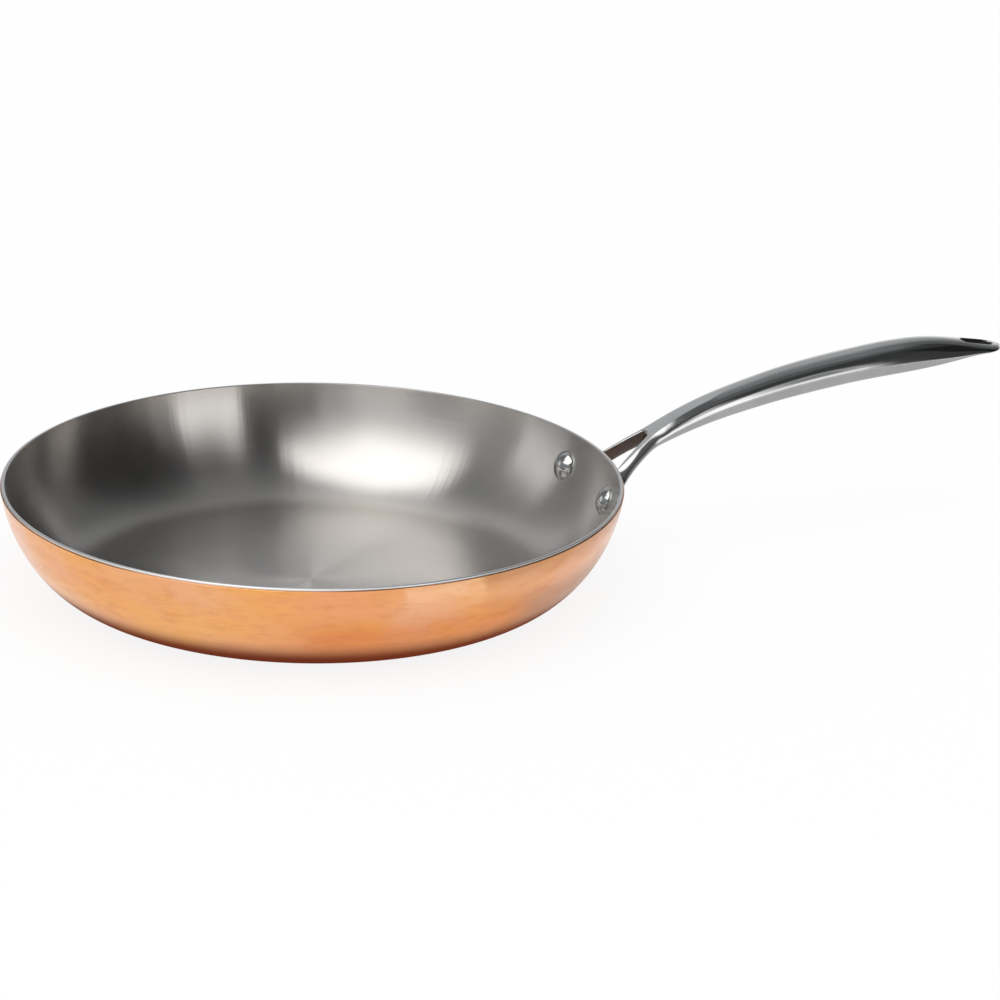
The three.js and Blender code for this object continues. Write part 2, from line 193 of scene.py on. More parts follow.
def endTree(tree, geometry, finish):      # real copies, then the finish
    real = addNode(tree, "GeometryNodeRealizeInstances", {0: geometry})
    painted = addNode(tree, "GeometryNodeSetMaterial", {"Geometry": real.outputs[0], "Material": finish})
    end = tree.nodes.new("NodeGroupOutput")
    tree.links.new(painted.outputs[0], end.inputs[0])


# Camera, at the photograph's viewing angle

cameraSpot = {
    "place": (-1.3150, -3.5679, 1.3873),  # metres
    "heading": 68.5,                      # degrees from +X to the line of sight, seen from above
    "pitch": 19.5,                        # degrees below level
    "roll": 0.9465,                       # degrees, the picture turned clockwise
    "lens": 324, "sensor": 36,
}


def makeCamera(spot):
    turn, pitch, roll = (math.radians(spot[key]) for key in ("heading", "pitch", "roll"))
    level = Vector((math.cos(turn), math.sin(turn), 0))
    right = Vector((math.sin(turn), -math.cos(turn), 0))
    ahead = level * math.cos(pitch) - Vector((0, 0, math.sin(pitch)))
    above = right.cross(ahead)
    tilted = right * math.cos(roll) + above * math.sin(roll)
    above = tilted.cross(ahead)
    data = bpy.data.cameras.new("camera")
    data.lens = spot["lens"]
    data.sensor_width = spot["sensor"]
    camera = addObject("camera", data)
    axes = Matrix((tilted, above, -ahead)).transposed().to_4x4()
    camera.matrix_world = Matrix.Translation(spot["place"]) @ axes
    scene.camera = camera
    print("camera set")


makeCamera(cameraSpot)


# Shared effects: a place and some numbers go in, one number comes out

def newEffect(name, numbers, result):
    tree = bpy.data.node_groups.new(name, "ShaderNodeTree")
    addSockets(tree, "INPUT", {"place": "Vector", **dict.fromkeys(numbers, "Float")})
    addSockets(tree, "OUTPUT", {result: "Float"})
    return tree, tree.nodes.new("NodeGroupInput").outputs, tree.nodes.new("NodeGroupOutput").inputs[0]


def makeRingBrush():                      # brush marks that run round the pan's axis
    axisRadius = 0.0005                   # metres, closer in than this there is no way round
    tree, given, wanted = newEffect("ring brush", ("lines", "stretch"), "streak")
    _, _, times, over, timesPlus = arithmetic(tree)
    spot = addNode(tree, "ShaderNodeSeparateXYZ", {0: given["place"]}).outputs
    radius = calc(tree, "SQRT", timesPlus(spot[0], spot[0], times(spot[1], spot[1])))
    safe = calc(tree, "MAXIMUM", radius, axisRadius)
    east, north = (times(over(spot[k], safe), given["stretch"]) for k in (0, 1))
    noise = addNode(tree, "ShaderNodeTexNoise", {
        "Vector": vectorOf(tree, times(radius, given["lines"]), east, north),
        "W": times(spot[2], given["lines"]), "Scale": 1.0, "Detail": 3.0, "Roughness": 0.6},
        noise_dimensions="4D")
    feed(tree, noise.outputs[0], wanted)
    return tree


def makeSpokes():                         # faint ripples that run out from the pan's axis
    tree, given, wanted = newEffect("spokes", ("count", "fade"), "ripple")
    flat = vectorCalc(tree, "MULTIPLY", given["place"], (1, 1, 0))[0]
    outward = vectorCalc(tree, "NORMALIZE", flat)[0]
    radius = vectorCalc(tree, "LENGTH", flat)["Value"]
    noise = addNode(tree, "ShaderNodeTexNoise", {
        "Vector": outward, "Scale": given["count"], "Detail": 3.0, "Roughness": 0.6})
    near = clamped(tree, calc(tree, "DIVIDE", radius, given["fade"]))
    feed(tree, calc(tree, "MULTIPLY", noise.outputs[0], near), wanted)
    return tree


def makeBlotches():                       # soft stains and smudges
    tree, given, wanted = newEffect("blotches", ("size", "low", "high"), "mask")
    noise = addNode(tree, "ShaderNodeTexNoise", {
        "Vector": given["place"], "Scale": calc(tree, "DIVIDE", 1.0, given["size"]), "Detail": 4.0,
        "Roughness": 0.55, "Distortion": 0.6})
    feed(tree, ranged(tree, noise.outputs[0], given["low"], given["high"]), wanted)
    return tree


ringBrush = makeRingBrush()
spokes = makeSpokes()
blotches = makeBlotches()


def useEffect(tree, effect, **inputs):
    return addNode(tree, "ShaderNodeGroup", inputs, node_tree=effect).outputs[0]


def brushMarks(tree, spot, look):
    return useEffect(tree, ringBrush, place=spot, lines=look["lines"], stretch=look["stretch"])


def blotchMask(tree, spot, size, limits):
    return useEffect(tree, blotches, place=spot, size=size, low=limits[0], high=limits[1])


def newMetal(name):
    finish = bpy.data.materials.new(name)
    finish.use_nodes = True
    tree = finish.node_tree
    shader = tree.nodes["Principled BSDF"]
    shader.inputs["Metallic"].default_value = 1.0
    spot = tree.nodes.new("ShaderNodeTexCoord").outputs["Object"]
    return finish, tree, shader.inputs, spot


def setLook(tree, shader, colour, rough):
    feed(tree, colour, shader["Base Color"])
    feed(tree, rough, shader["Roughness"])


def addBump(tree, shader, height, strength, depth):
    bump = addNode(tree, "ShaderNodeBump", {"Height": height, "Strength": strength, "Distance": depth})
    feed(tree, bump.outputs[0], shader["Normal"])


def grainAround(tree, shader, amount):    # reflections spread across the brush marks
    shader["Anisotropic"].default_value = amount
    shader["Anisotropic Rotation"].default_value = 0.25               # a quarter of a turn
    tangent = addNode(tree, "ShaderNodeTangent", direction_type="RADIAL", axis="Z")
    feed(tree, tangent.outputs[0], shader["Tangent"])


# Finishes: sizes in metres, roughness from and to, bump strength and depth

copperLook = {
    "clean": (0.86, 0.385, 0.170, 1), "golden": (0.90, 0.43, 0.125, 1), "pink": (0.86, 0.46, 0.29, 1),
    "brown": (0.72, 0.28, 0.10, 1), "pinkShare": 0.85, "brownShare": 0.45,
    "wide": 0.06, "wideMask": (0.32, 0.72), "other": 0.078, "otherMask": (0.36, 0.70),
    "small": 0.014, "smallMask": (0.40, 0.80), "flatten": 3.2,        # how much longer than high a stain is
    "lines": 2600.0, "stretch": 5.0, "streak": (0.93, 1.05), "grain": 0.9,
    "roughness": (0.15, 0.22), "brownRoughness": 0.05, "bump": (0.35, 0.00001),
}


def makeCopper(look):
    finish, tree, shader, spot = newMetal("satin copper")
    brush = brushMarks(tree, spot, look)
    lower = vectorCalc(tree, "MULTIPLY", spot, (1, 1, look["flatten"]))[0]
    wide = blotchMask(tree, lower, look["wide"], look["wideMask"])
    other = blotchMask(tree, spot, look["other"], look["otherMask"])
    small = blotchMask(tree, lower, look["small"], look["smallMask"])
    colour = mixColours(tree, wide, look["clean"], look["golden"])
    colour = mixColours(tree, calc(tree, "MULTIPLY", other, look["pinkShare"]), colour, look["pink"])
    colour = mixColours(tree, calc(tree, "MULTIPLY", small, look["brownShare"]), colour, look["brown"])
    streak = between(tree, *look["streak"], brush)
    colour = mixColours(tree, 1.0, colour, vectorOf(tree, streak, streak, streak), "MULTIPLY")
    rough = between(tree, *look["roughness"], brush)
    setLook(tree, shader, colour, calc(tree, "MULTIPLY_ADD", small, look["brownRoughness"], rough))
    grainAround(tree, shader, look["grain"])
    addBump(tree, shader, brush, *look["bump"])
    return finish


linerLook = {
    "bright": (0.722, 0.692, 0.662, 1), "dull": (0.642, 0.613, 0.585, 1), "roughness": (0.20, 0.25),
    "lines": 2200.0, "stretch": 2.2, "grain": 1.0, "bump": (0.25, 0.000008),
    "smudge": 0.04, "smudgeMask": (0.42, 0.7), "smudgeRoughness": 0.02,
    "spokes": 34.0, "spokeFade": 0.06, "ripple": 13.0,
}


coreLook = {
    "bright": (0.86, 0.86, 0.86, 1), "dull": (0.72, 0.72, 0.72, 1), "roughness": (0.25, 0.4),
    "lines": 5000.0, "stretch": 8.0, "bump": (0.3, 0.00001),
}


def makeBrushed(name, look):
    finish, tree, shader, spot = newMetal(name)
    brush = height = brushMarks(tree, spot, look)
    rough = between(tree, *look["roughness"], brush)
    if "spokes" in look:                  # a wide face, with smudges and a faint ripple
        smudge = blotchMask(tree, spot, look["smudge"], look["smudgeMask"])
        rough = calc(tree, "MULTIPLY_ADD", smudge, look["smudgeRoughness"], rough)
        ripple = useEffect(tree, spokes, place=spot, count=look["spokes"], fade=look["spokeFade"])
        height = calc(tree, "MULTIPLY_ADD", ripple, look["ripple"], brush)
        grainAround(tree, shader, look["grain"])
    setLook(tree, shader, mixColours(tree, brush, look["dull"], look["bright"]), rough)
    addBump(tree, shader, height, *look["bump"])
    return finish


polish = {"smudgeMask": (0.38, 0.7), "waveShare": 0.4, "waveMask": (0.2, 0.8), "bump": (0.1, 0.00002)}
handleLook = {
    "bright": (0.685, 0.685, 0.68, 1), "dull": (0.625, 0.625, 0.62, 1), "roughness": (0.07, 0.13),
    # The unpolished sides' colour is dark brown as painted shade and painted copper reflection in the slot;
    # the hole colour paints the hanging hole's sides near black as shade.
    "rawAndShade": (0.19, 0.16, 0.145, 1), "hole": (0.05, 0.05, 0.05, 1), "rawRoughness": 0.5, "smudge": 0.02,
}
rivetLook = {
    "bright": (0.55, 0.55, 0.545, 1), "dull": (0.47, 0.47, 0.465, 1), "roughness": (0.10, 0.18),
    "smudge": 0.005,
}
slotMark, holeShadeMark = 1.0, 2.0             # how the handle's mesh marks its unpolished sides, which also get painted shade


def makePolished(name, look):
    finish, tree, shader, spot = newMetal(name)
    smudge = blotchMask(tree, spot, look["smudge"], polish["smudgeMask"])
    wave = blotchMask(tree, spot, look["smudge"] * polish["waveShare"], polish["waveMask"])
    colour = mixColours(tree, smudge, look["bright"], look["dull"])
    rough = between(tree, *look["roughness"], smudge)
    if "rawAndShade" in look:                     # sides that the polishing wheel doesn't reach: rougher, and painted dark as shade, near black in the hanging hole
        rawAndShade = addNode(tree, "ShaderNodeAttribute", attribute_name="rawAndShade").outputs["Fac"]
        share = clamped(tree, rawAndShade)
        # 1 on the hanging hole's sides, which are painted near black as shade in the recess
        deep = clamped(tree, calc(tree, "SUBTRACT", rawAndShade, slotMark))
        colour = mixColours(tree, share, colour, mixColours(tree, deep, look["rawAndShade"], look["hole"]))
        rough = between(tree, rough, look["rawRoughness"], share)
    setLook(tree, shader, colour, rough)
    addBump(tree, shader, wave, *polish["bump"])
    return finish


copperFinish = makeCopper(copperLook)
linerFinish = makeBrushed("brushed liner steel", linerLook)
coreFinish = makeBrushed("cut aluminium edge", coreLook)
handleFinish = makePolished("polished handle steel", handleLook)
rivetFinish = makePolished("polished rivet steel", rivetLook)
print("finishes made")


# Pan body: three bonded sheets, turned from one half section

pan = {
    "rimRadius": 140, "panHeight": 48, "baseRadius": 97.5, "baseRun": 22.5, "wallRun": 23.5,
    "wallFlare": 7.6,                     # degrees
    "copper": 0.5, "core": 1.0, "liner": 0.5, "bondGap": 0.05,
    "copperDrop": 1.2,                    # the ground rim bares this much of the core
    "crown": 0.3, "copperCrown": 0.15,    # how far the rim's edges round down
    "baseShare": 0.16, "turnSteps": 192, "sideRows": 60, "rimRows": 8,
}


def makeSheetTree():
    numbers = ("rimRadius", "panHeight", "baseRadius", "baseRun", "wallRun", "wallFlare", "baseShare",
               "outerDepth", "innerDepth", "rimDrop", "crownFrom", "crownTo", "crown")
    tree, given = newTree("turned sheet", numbers, ("turnSteps", "sideRows", "rimRows"))
    plus, minus, times, over, timesPlus = arithmetic(tree)
    rows = timesPlus(given["sideRows"], 2.0, given["rimRows"])
    mesh, turn, row = turnedGrid(tree, given["turnSteps"], rows)

    # Rows climb the outside, cross the rim and come down the inside.
    nearest = calc(tree, "MINIMUM", row, minus(rows, row))
    along = clamped(tree, over(nearest, given["sideRows"]))
    crossing = clamped(tree, over(minus(row, given["sideRows"]), given["rimRows"]))
    depth = between(tree, given["outerDepth"], given["innerDepth"], crossing)

    # How far below the rim's plane the sheet ends at this depth, and so where on the wall's curve.
    centred = minus(times(2.0, depth), plus(given["crownFrom"], given["crownTo"]))
    offCrown = over(centred, minus(given["crownTo"], given["crownFrom"]))
    below = timesPlus(times(offCrown, offCrown), given["crown"], given["rimDrop"])
    sine = calc(tree, "SINE", given["wallFlare"])
    cosine = calc(tree, "COSINE", given["wallFlare"])
    speed = times(times(given["wallRun"], cosine), 3.0)
    lastTime = minus(1.0, over(timesPlus(depth, sine, below), speed))
    onBase = clamped(tree, over(along, given["baseShare"]))
    onWall = clamped(tree, over(minus(along, given["baseShare"]), minus(1.0, given["baseShare"])))
    time = times(onWall, lastTime)

    # The wall's outside is a cubic curve from the flat base to the rim; the sheet lies a depth inside it.
    def onCurve(start, second, third, end):
        middle = between(tree, second, third, time)
        first = between(tree, between(tree, start, second, time), middle, time)
        last = between(tree, middle, between(tree, third, end, time), time)
        return between(tree, first, last, time), minus(last, first)

    bendEnd = plus(given["baseRadius"], given["baseRun"])
    slopeRadius = minus(given["rimRadius"], times(given["wallRun"], sine))
    slopeHeight = minus(given["panHeight"], times(given["wallRun"], cosine))
    radius, outward = onCurve(given["baseRadius"], bendEnd, slopeRadius, given["rimRadius"])
    height, upward = onCurve(0.0, 0.0, slopeHeight, given["panHeight"])
    length = calc(tree, "SQRT", timesPlus(outward, outward, times(upward, upward)))
    radius = minus(radius, times(depth, over(upward, length)))
    radius = minus(radius, times(given["baseRadius"], minus(1.0, onBase)))
    height = plus(height, times(depth, over(outward, length)))
    endTree(tree, weld(tree, turnRound(tree, mesh, turn, radius, height)), given["finish"])
    return tree


sheetTree = makeSheetTree()


def makeSheet(name, finish, **depths):
    lengths = ("rimRadius", "panHeight", "baseRadius", "baseRun", "wallRun")
    values = {key: pan[key] * mm for key in lengths}
    values.update({key: depth * mm for key, depth in depths.items()})
    values.update({key: pan[key] for key in ("baseShare", "turnSteps", "sideRows", "rimRows")})
    values.update(wallFlare=math.radians(pan["wallFlare"]), finish=finish)
    return runNodes(name, sheetTree, values)


coreDepth = pan["copper"] + pan["bondGap"]
coreEnd = coreDepth + pan["core"]
linerDepth = coreEnd + pan["bondGap"]
wallDepth = linerDepth + pan["liner"]
steelRim = {"crownFrom": coreDepth, "crownTo": wallDepth, "crown": pan["crown"], "rimDrop": 0}
copperRim = {"crownFrom": 0, "crownTo": pan["copper"], "crown": pan["copperCrown"],
             "rimDrop": pan["copperDrop"]}

copperSheet = makeSheet("copperSheet", copperFinish, outerDepth=0, innerDepth=pan["copper"], **copperRim)
coreSheet = makeSheet("coreSheet", coreFinish, outerDepth=coreDepth, innerDepth=coreEnd, **steelRim)
linerSheet = makeSheet("linerSheet", linerFinish, outerDepth=linerDepth, innerDepth=wallDepth, **steelRim)
print("sheets made:", len(copperSheet.data.polygons), "faces each")


# The wall's outside in a half section, for what is set on it

def onCubic(points, time):                # a spot on a cubic curve, and its direction there
    a, b, c, d = points
    left = 1 - time
    spot = left ** 3 * a + 3 * left ** 2 * time * b + 3 * left * time ** 2 * c + time ** 3 * d
    return spot, left ** 2 * (b - a) + 2 * left * time * (c - b) + time ** 2 * (d - c)


def wallPoint(time):                      # radius, height and the unit direction up the wall
    flare = math.radians(pan["wallFlare"])
    rim = np.array((pan["rimRadius"], pan["panHeight"]))
    start = np.array((pan["baseRadius"], 0.0))
    third = rim - pan["wallRun"] * np.array((math.sin(flare), math.cos(flare)))
    spot, going = onCubic((start, start + (pan["baseRun"], 0), third, rim), time)
    return spot, going / np.linalg.norm(going)


rivet = {
    "spacing": 50.6, "depth": 15.8, "shank": 6, "head": 13.5, "headHeight": 4.0, "headRim": 0.6, "sink": 0.5,
    "tail": 10, "tailRim": 0.35,
    "padFace": 4.0, "tailTop": 5.7,       # the pad's and the tail's outsides, measured from the wall
    "turnSteps": 48, "domeRows": 14, "seatHalvings": 40,
}


def findRivetSeat():
    low, high = 0.0, 1.0
    for _ in range(rivet["seatHalvings"]):
        middle = (low + high) / 2
        if wallPoint(middle)[0][1] < pan["panHeight"] - rivet["depth"]:
            low = middle
        else:
            high = middle
    spot, going = wallPoint(low)
    turn = math.asin(rivet["spacing"] / 2 / spot[0])
    return spot, turn, math.atan2(going[0], going[1])


seatSpot, seatTurn, wallLean = findRivetSeat()


# Rivets: a domed head inside, a shank and a low tail outside, one at each side of the handle

def makeRivetTree():
    numbers = ("spacing", "seatReach", "seatHeight", "seatTurn", "wallLean", "shank", "head", "headHeight",
               "headRim", "headFoot", "sink", "tail", "tailHeight", "tailRim", "padFace")
    tree, given = newTree("rivet pair", numbers, ("turnSteps", "domeRows"))
    plus, minus, times, over, timesPlus = arithmetic(tree)

    def dome(width, tall, rim, foot, way, skirt):     # cap, straight edge, then a flat underside
        mesh, turn, row = turnedGrid(tree, given["turnSteps"], plus(given["domeRows"], 2.0))
        reach = times(width, 0.5)
        bulge = minus(tall, rim)
        ball = over(timesPlus(reach, reach, times(bulge, bulge)), times(bulge, 2.0))
        widest = calc(tree, "ARCSINE", calc(tree, "MINIMUM", over(reach, ball), 1.0))
        angle = times(widest, clamped(tree, over(row, given["domeRows"])))
        pastCap = minus(row, given["domeRows"])
        onEdge = clamped(tree, pastCap)
        onFoot = clamped(tree, minus(pastCap, 1.0))
        radius = times(times(ball, calc(tree, "SINE", angle)), minus(1.0, onFoot))
        capped = timesPlus(ball, minus(calc(tree, "COSINE", angle), 1.0), tall)
        raised = minus(capped, times(onEdge, plus(rim, skirt)))
        return turnRound(tree, mesh, turn, radius, timesPlus(raised, way, foot))

    headFoot = times(given["headFoot"], -1.0)
    head = dome(given["head"], given["headHeight"], given["headRim"], headFoot, -1.0, given["sink"])
    tail = dome(given["tail"], given["tailHeight"], given["tailRim"], given["padFace"], 1.0, 0.0)
    shank = addNode(tree, "GeometryNodeMeshCylinder", {
        "Vertices": given["turnSteps"], "Radius": times(given["shank"], 0.5),
        "Depth": plus(given["headFoot"], given["padFace"])})
    middle = times(minus(given["padFace"], given["headFoot"]), 0.5)
    lifted = addNode(tree, "GeometryNodeSetPosition", {
        "Geometry": shank.outputs["Mesh"], "Offset": vectorOf(tree, 0.0, 0.0, middle)})
    joined = addNode(tree, "GeometryNodeJoinGeometry")
    for part in (head, lifted.outputs[0], tail):
        tree.links.new(part, joined.inputs[0])

    # Two seats on the wall, each with its axis square to the wall.
    start = vectorOf(tree, given["seatReach"], times(given["spacing"], -0.5), given["seatHeight"])
    seats = addNode(tree, "GeometryNodeMeshLine", {
        "Count": 2, "Start Location": start, "Offset": vectorOf(tree, 0.0, given["spacing"], 0.0)})
    side = timesPlus(tree.nodes.new("GeometryNodeInputIndex").outputs[0], 2.0, -1.0)
    tilt = plus(given["wallLean"], quarterTurn)
    facing = addNode(tree, "FunctionNodeEulerToRotation", {
        0: vectorOf(tree, 0.0, tilt, times(side, given["seatTurn"]))})
    pair = addNode(tree, "GeometryNodeInstanceOnPoints", {
        "Points": seats.outputs[0], "Instance": weld(tree, joined.outputs[0]), "Rotation": facing.outputs[0]})
    endTree(tree, pair.outputs[0], given["finish"])
    return tree


def makeRivets(sizes):
    lengths = ("spacing", "shank", "head", "headHeight", "headRim", "sink", "tail", "tailRim", "padFace")
    values = {key: sizes[key] * mm for key in lengths}
    values.update(
        seatReach=seatSpot[0] * math.cos(seatTurn) * mm, seatHeight=seatSpot[1] * mm, seatTurn=seatTurn,
        wallLean=wallLean, headFoot=wallDepth * mm, tailHeight=(sizes["tailTop"] - sizes["padFace"]) * mm,
        turnSteps=sizes["turnSteps"], domeRows=sizes["domeRows"], finish=rivetFinish)
    return runNodes("rivets", makeRivetTree(), values)


rivets = makeRivets(rivet)
print("rivets made")


# Handle: one casting, skinned over a row of half sections and mirrored

handle = {
    # run past the station before it, crest over the rim, thickness, width, share above the widest line
    "fork": (21, 6.6, 7.9, 17.4, 0.58), "neck": (24, 18, 11.3, 17, 0.6), "rise": (30, 27, 13.5, 17.8, 0.6),
    "belly": (40, 34.2, 14.7, 19.5, 0.6), "shoulder": (47, 36.6, 12.2, 19.5, 0.78),
    "tongue": (20, 33.1, 4.9, 17, 0.93), "tip": (13.5, 30.1, 1.2, 16, 0.93),
    "tipRadius": 8.5, "roundness": 0.95,  # 1 is an ellipse, less is boxier
    "slotWidth": 6.8, "slotCorner": 1, "edgeRadius": 0.7,
    "legSpread": 24, "legRun": 16, "legDrop": 8.8, "legWidth": 6.2, "legHeight": 7.5, "turnIn": 16,
    "padRun": 14, "padThickness": 3.7, "padDiameter": 15, "padSink": 1, "padGap": 0.3, "padRoundness": 0.5,
    "padStart": 0.64, "slotShare": 0.6, "outlineShare": 0.7, "axisShare": 0.8,    # shares of a leg's path
    "wallGap": 0.05, "seatRadius": 5.3, "nearRim": 3, "nearTop": 1,
    "easing": 4, "easeBody": 19, "easeLeg": 14, "leastEase": 0.001,
    "holeLength": 16, "holeWidth": 7, "holeMargin": 3.6,
    "capEnd": 0.96,                       # share of a quarter turn where a rounded end is closed
    "edgeReach": 12, "edgeFloor": 0.25,   # how near a cut softens a section, and the least height left there
    "edgeRows": (0.1, 0.25, 0.45, 0.7, 1.0, 1.4),     # rows beside the hole, in edge radii
    "arcSteps": 64, "sideSteps": 4, "gripStep": 1.6, "leastStep": 0.04, "turnInSteps": 44, "slotSteps": 16,
    "legSteps": 70, "capSteps": 16, "holeSteps": 13, "outlineStep": 0.05, "slotEndSteps": 40,
    "holeTurnSteps": 90, "wallFrom": 0.3, "wallSteps": 400, "middleGap": 0.001,
}
stationNames = ("fork", "neck", "rise", "belly", "shoulder", "tongue", "tip")
stations = np.array([handle[name] for name in stationNames], float)
crestCol, thickCol, wideCol, aboveCol = range(1, 5)
reaches = np.cumsum(stations[:, 0])
tipReach = reaches[-1]

# A section's row: its axis in space, turn, width, height up and down, ramp, lean, roundness and hollow.
swingCol, widthCol, upperCol, lowerCol, rampCol, leanCol, roundCol, hollowCol = range(3, 11)


def stationSlope(index, column):
    steps = np.diff(reaches)
    slopes = np.diff(stations[:, column]) / steps
    if index == 0:
        return slopes[0] + (slopes[0] - slopes[1]) * steps[0] / (steps[0] + steps[1])
    if index == len(steps):
        return slopes[-1]
    before, after = steps[index - 1], steps[index]
    return (before * slopes[index] + after * slopes[index - 1]) / (before + after)


def alongHandle(reach, column):           # smooth curve through the stations
    i = int(np.clip(np.searchsorted(reaches, reach) - 1, 0, len(reaches) - 2))
    step = reaches[i + 1] - reaches[i]
    t = (reach - reaches[i]) / step
    start = stations[i, column] * (1 + 2 * t) * (1 - t) ** 2
    end = stations[i + 1, column] * t * t * (3 - 2 * t)
    bend = stationSlope(i, column) * t * (1 - t) ** 2 + stationSlope(i + 1, column) * t * t * (t - 1)
    return start + end + bend * step


def waistHeight(reach):                   # the level where the section is widest
    return alongHandle(reach, crestCol) - alongHandle(reach, thickCol) * alongHandle(reach, aboveCol)


def waistSlope(reach):                    # over 1 mm
    return waistHeight(reach + 0.5) - waistHeight(reach - 0.5)


def smoothStep(t):
    t = min(max(t, 0.0), 1.0)
    return t * t * (3 - 2 * t)


def mix(low, high, share):
    return low + (high - low) * share


def slotEnd(share):                       # the slot's blunt end from above, from the middle to its side
    bend = quarterTurn * share
    back = handle["slotCorner"] * (1 - np.cos(bend))
    aside = handle["slotWidth"] / 2 * np.sin(bend)
    return np.stack((pan["rimRadius"] + reaches[0] - back, aside), 1)


def bodyReaches():                        # from the tip to the fork, closer where the shape turns fast
    sizes = handle
    slant = math.tan(math.radians(sizes["legSpread"]))
    tipStart = tipReach - sizes["tipRadius"]
    forkEnd = reaches[0] - sizes["slotCorner"] - sizes["slotWidth"] / 2 * slant
    turnStart = forkEnd + sizes["turnIn"]
    quarter = quarterTurn * sizes["capEnd"] * np.linspace(0, 1, sizes["capSteps"] + 1)
    found = list(tipStart + sizes["tipRadius"] * np.sin(quarter))
    found += list(np.linspace(turnStart, tipStart, int((tipStart - turnStart) / sizes["gripStep"])))
    found += list(np.linspace(forkEnd, turnStart, sizes["turnInSteps"], endpoint=False))
    blunt = slotEnd(np.linspace(0, 1, sizes["slotSteps"]))
    found += list(blunt[:, 0] - blunt[:, 1] * slant - pan["rimRadius"])
    holeEnd = tipReach - sizes["holeMargin"]
    holeStart = holeEnd - sizes["holeLength"]
    back = sizes["holeWidth"] / 2 * (1 - np.cos(np.linspace(0, quarterTurn, sizes["holeSteps"])))
    edge = sizes["edgeRadius"] * np.array(sizes["edgeRows"])
    found += [*(holeEnd - back), *(holeStart + back), *(holeEnd + edge), *(holeStart - edge)]
    kept = []
    for reach in sorted(found, reverse=True):
        if not kept or kept[-1] - reach > sizes["leastStep"]:
            kept.append(reach)
    return kept, tipStart, turnStart


def padSeat():                            # the left rivet's seat, the wall's outward and sideways lines there
    level = math.cos(wallLean)
    out = np.array((level * math.cos(seatTurn), level * math.sin(seatTurn), -math.sin(wallLean)))
    seat = np.array((seatSpot[0] * math.cos(seatTurn), seatSpot[0] * math.sin(seatTurn), seatSpot[1]))
    return seat, out, np.array((-math.sin(seatTurn), math.cos(seatTurn), 0))


def handleTrack():                        # the rows of all sections, from the tip to the pad
    sizes = handle
    kept, tipStart, turnStart = bodyReaches()
    spread = math.radians(sizes["legSpread"])
    forkEnd = kept[-1]
    rows = []
    for reach in kept:
        past = max(reach - tipStart, 0) / sizes["tipRadius"]
        swing = spread * smoothStep((turnStart - reach) / (turnStart - forkEnd))
        width = alongHandle(reach, wideCol) / 2 * math.sqrt(max(1 - past ** 2, 0)) / math.cos(swing)
        thick = alongHandle(reach, thickCol)
        upper = thick * alongHandle(reach, aboveCol)
        place = (pan["rimRadius"] + reach, 0, pan["panHeight"] + waistHeight(reach))
        rows.append((*place, swing, width, upper, thick - upper, waistSlope(reach), 0, sizes["roundness"], 0))
    last = rows[-1]

    # The leg's inner side in space, from the slot's end to the middle of the pad.
    seat, out, along = padSeat()
    padMiddle = seat + out * (sizes["padGap"] - sizes["padSink"])
    padSide = sizes["padThickness"] + sizes["padSink"]
    padRadius = sizes["padDiameter"] / 2
    firstHollow = sizes["slotWidth"] / 2 / math.cos(spread)
    start = np.array((last[0] + firstHollow * math.sin(spread), sizes["slotWidth"] / 2,
                      last[2] + last[rampCol] * firstHollow * math.sin(spread)))
    heading = np.array((-math.cos(spread) * sizes["legRun"], math.sin(spread) * sizes["legRun"],
                        -sizes["legDrop"]))
    path = (start, start + heading, padMiddle - along * sizes["padRun"], padMiddle)
    innerSide = []
    for t in np.linspace(0, 1, sizes["legSteps"] + 1):
        inner, going = onCubic(path, t)
        innerSide.append(inner[:2])
        settle = smoothStep((t - sizes["padStart"]) / (1 - sizes["padStart"]))
        early = smoothStep(t / sizes["padStart"])
        swing = math.atan2(going[1], -going[0])
        hollow = firstHollow * (1 - smoothStep(t / sizes["axisShare"]))
        ramp = last[rampCol] * (1 - early)
        side = mix(mix(last[widthCol] - firstHollow, sizes["legWidth"], early), padSide, settle)
        upper, lower = (mix(mix(last[column], sizes["legHeight"] / 2, early), padRadius, settle)
                        for column in (upperCol, lowerCol))
        back = hollow * np.array((math.sin(swing), math.cos(swing), ramp * math.sin(swing)))
        rounded = mix(sizes["roundness"], sizes["padRoundness"], settle ** 2)
        rows.append((*(inner - back), swing, side + hollow, upper, lower, ramp, wallLean * settle, rounded,
                     hollow))

    # The pad's round end past the rivet.
    for i in range(1, sizes["capSteps"] + 1):
        angle = quarterTurn * sizes["capEnd"] * i / sizes["capSteps"]
        middle = padMiddle + along * padRadius * math.sin(angle)
        half = padRadius * math.cos(angle)
        rows.append((*middle, quarterTurn - seatTurn, padSide, half, half, 0, wallLean,
                     sizes["padRoundness"], 0))
    return easeTrack(np.array(rows, float), len(kept)), np.array(innerSide), len(kept)


def easeTrack(rows, fork):                # the body flows into the leg without a crease
    sizes = handle
    steps = np.linalg.norm(np.diff(rows[:, :3], axis=0), axis=1)
    marks = np.concatenate(((0,), np.cumsum(steps)))
    share = np.gradient(marks)[:, None]
    low, high = marks[fork] - sizes["easeBody"], marks[fork] + sizes["easeLeg"]
    eased = rows.copy()
    for i in np.where((marks > low) & (marks < high))[0]:
        spread = min(sizes["easing"], (marks[i] - low) / 2, (high - marks[i]) / 2) + sizes["leastEase"]
        weights = np.exp(-0.5 * ((marks - marks[i]) / spread) ** 2)[:, None] * share
        eased[i] = (rows * weights).sum(0) / weights.sum()
    return eased


